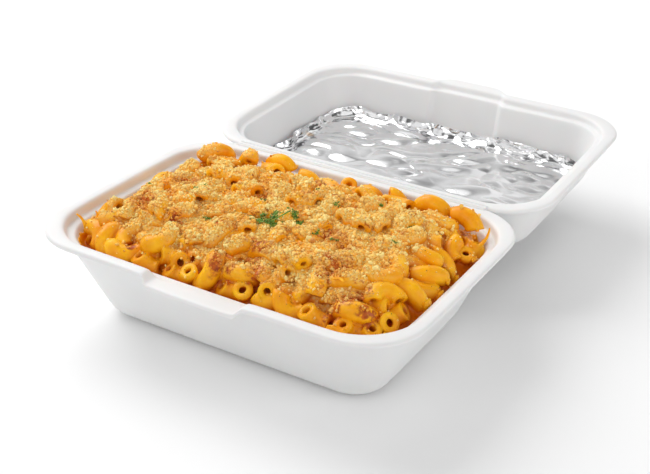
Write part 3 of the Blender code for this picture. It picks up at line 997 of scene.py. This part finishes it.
# The pepper: black peppercorns, coarsely ground over the dish after baking. The specks are about
# half a millimetre across and lie all over the food.
PEPPER_COUNT = 260
PEPPER_SIZE = (0.00016, 0.00034)
PEPPER_SEED = 41
PEPPER_BLACK = (0.035, 0.020, 0.010)
PEPPER_BROWN = (0.14, 0.07, 0.025)
draw_pepper = np.random.default_rng(PEPPER_SEED)
speck_shapes = crumb_shapes("speck", 1, 4, 0.7, 43)
places, ways = landing_places(surface, draw_pepper, PEPPER_COUNT, lambda place: 0.7)
number = len(places)
sizes = draw_pepper.uniform(*PEPPER_SIZE, number)
pepper = copies("pepper_specks", speck_shapes, draw_pepper.integers(0, 4, number),
                random_turns(draw_pepper, number), places + ways * (sizes * 0.5)[:, None], sizes)
discard(*speck_shapes)
black = Recipe("ground_pepper")
husk = black.spread(black.noise(2000.0), 0.4, 0.6)
black.colour(black.mix(husk, PEPPER_BLACK, PEPPER_BROWN))
black.roughness(black.spread(black.noise(1400.0), 0.3, 0.7, 0.55, 0.75))
pepper.data.materials.append(black.fixed(Specular_IOR_Level=0.3))
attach(pepper, "base")

# The cheese shreds: grated cheddar that has half melted. They are thin threads, and most stick up
# at the edges of the food, where no sauce covered them.
SHREDS = (
    # foot of the shred, the way it leans, its length
    (-0.093, -0.052, (-0.45, -0.20, 0.85), 0.0085), (-0.086, -0.045, (0.10, 0.35, 0.90), 0.0070),
    (-0.095, -0.040, (-0.3, 0.2, 0.9), 0.0060), (0.096, 0.048, (0.30, 0.30, 0.85), 0.0120),
    (0.092, 0.053, (-0.2, 0.4, 0.8), 0.0060), (0.050, -0.052, (0.7, 0.1, 0.35), 0.0100),
    (0.060, -0.045, (0.8, -0.3, 0.25), 0.0090),
)
SHRED_THICK = 0.00065
shred_pieces = []
for number, (x, y, lean, length) in enumerate(SHREDS):
    foot = standing_at(x, y) - Vector((0, 0, 0.0012))
    bpy.ops.object.select_all(action="DESELECT")
    bpy.ops.mesh.primitive_cube_add(size=1.0)
    shred = bpy.context.object
    bpy.ops.object.mode_set(mode="EDIT")
    bpy.ops.mesh.select_all(action="SELECT")
    bpy.ops.mesh.subdivide(number_cuts=5)
    bpy.ops.object.mode_set(mode="OBJECT")
    direction = Vector(lean).normalized()
    side = direction.orthogonal().normalized()
    other = direction.cross(side)
    for point in shred.data.vertices:
        up = point.co.z + 0.5
        thin = SHRED_THICK * (2.0 - 1.1 * up)
        bow = math.sin(up * math.pi) * length * 0.12
        wide, flat = point.co.x * thin * 1.5 + bow, point.co.y * thin
        point.co = foot + direction * (up * length) + side * wide + other * flat
    apply_modifier(shred, "SUBSURF", levels=1, render_levels=1)
    shred_pieces.append(shred)
only(shred_pieces[0])
for shred in shred_pieces[1:]:
    shred.select_set(True)
bpy.ops.object.join()
shreds = shred_pieces[0]
shreds.name = "cheese_shreds"
melted = Recipe("melted_cheddar")
melted.colour(melted.mix(melted.spread(melted.noise(160.0), 0.35, 0.65), CHEESE_DEEP, CHEESE_BRIGHT))
melted.roughness(melted.spread(melted.noise(300.0), 0.3, 0.7, 0.30, 0.45))
shreds.data.materials.clear()
shreds.data.materials.append(
    melted.fixed(Subsurface_Weight=0.1, Subsurface_Scale=0.002, Specular_IOR_Level=0.3))
shreds.data.shade_smooth()
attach(shreds, "base")

# The studio: a camera a little over the box, a pale floor, a large soft light from the upper left
# behind the box, weaker ones at the front and the right, and a bright sky.
VIEW_FROM = Vector((0.312449, -0.471200, 0.347905))
EYE_AZIMUTH = math.radians(30.46)
EYE_ELEVATION = math.radians(28.02)
EYE_ROLL = math.radians(1.19)

camera = bpy.data.objects.new("camera", bpy.data.cameras.new("camera"))
bpy.context.scene.collection.objects.link(camera)
back = Vector((math.sin(EYE_AZIMUTH) * math.cos(EYE_ELEVATION),
               -math.cos(EYE_AZIMUTH) * math.cos(EYE_ELEVATION), math.sin(EYE_ELEVATION)))
turn = (-back).to_track_quat("-Z", "Y").to_matrix().to_4x4()
camera.matrix_world = Matrix.Translation(VIEW_FROM) @ turn @ Matrix.Rotation(EYE_ROLL, 4, "Z")
camera.data.sensor_width = 36.0
camera.data.lens = 65.06
camera.data.shift_x = -0.01784
camera.data.shift_y = 0.00516
bpy.context.scene.camera = camera

bpy.ops.mesh.primitive_plane_add(size=12.0)
floor = bpy.context.object
floor.name = "floor"
pale = Recipe("pale_floor")
floor.data.materials.append(pale.fixed(Base_Color=(0.95, 0.95, 0.95), Roughness=0.9, Specular_IOR_Level=0.2))


def soft_light(name, place, target, size, watts):
    lamp = bpy.data.objects.new(name, bpy.data.lights.new(name, "AREA"))
    lamp.data.shape = "DISK"
    lamp.data.size = size
    lamp.data.energy = watts
    lamp.matrix_world = Matrix.Translation(place) @ (
        (Vector(target) - Vector(place)).to_track_quat("-Z", "Y").to_matrix().to_4x4())
    bpy.context.scene.collection.objects.link(lamp)


soft_light("key_light", (-1.05, 0.45, 1.15), (0, 0.03, 0), 1.3, 17.5)
soft_light("front_light", (-0.3, -1.6, 1.2), (0, 0.03, 0), 1.0, 4.0)
soft_light("right_light", (1.5, 0.2, 0.6), (0, 0.05, 0), 1.0, 5.0)
world = bpy.data.worlds.new("studio_sky")
bpy.context.scene.world = world
world.use_nodes = True
sky = world.node_tree
way = sky.nodes.new("ShaderNodeTexCoord")
panels = sky.nodes.new("ShaderNodeTexNoise")
panels.inputs["Scale"].default_value = 2.6
panels.inputs["Detail"].default_value = 0.0
ramp = sky.nodes.new("ShaderNodeValToRGB")
stops = ramp.color_ramp.elements
for place in (0.44, 0.52):
    stops.new(place)
for stop, bright in zip(stops, (0.06, 0.12, 0.95, 1.1)):
    stop.color = (bright, bright, bright, 1.0)
behind = sky.nodes.new("ShaderNodeVectorMath")
behind.operation = "DISTANCE"
behind.inputs[1].default_value = (-0.45, 0.76, 0.47)
screen = sky.nodes.new("ShaderNodeMapRange")
for name, value in (("From Min", 0.06), ("From Max", 0.50), ("To Min", 0.85), ("To Max", 0.0)):
    screen.inputs[name].default_value = value
most = sky.nodes.new("ShaderNodeMath")
most.operation = "MAXIMUM"
for start, end in ((way.outputs["Generated"], panels.inputs["Vector"]),
                   (panels.outputs["Fac"], ramp.inputs["Fac"]),
                   (way.outputs["Generated"], behind.inputs[0]),
                   (behind.outputs["Value"], screen.inputs["Value"]),
                   (ramp.outputs["Color"], most.inputs[0]), (screen.outputs["Result"], most.inputs[1]),
                   (most.outputs[0], sky.nodes["Background"].inputs["Strength"])):
    sky.links.new(start, end)
sky.nodes["Background"].inputs["Color"].default_value = (1, 1, 1, 1)
bpy.context.scene.view_settings.view_transform = "Standard"
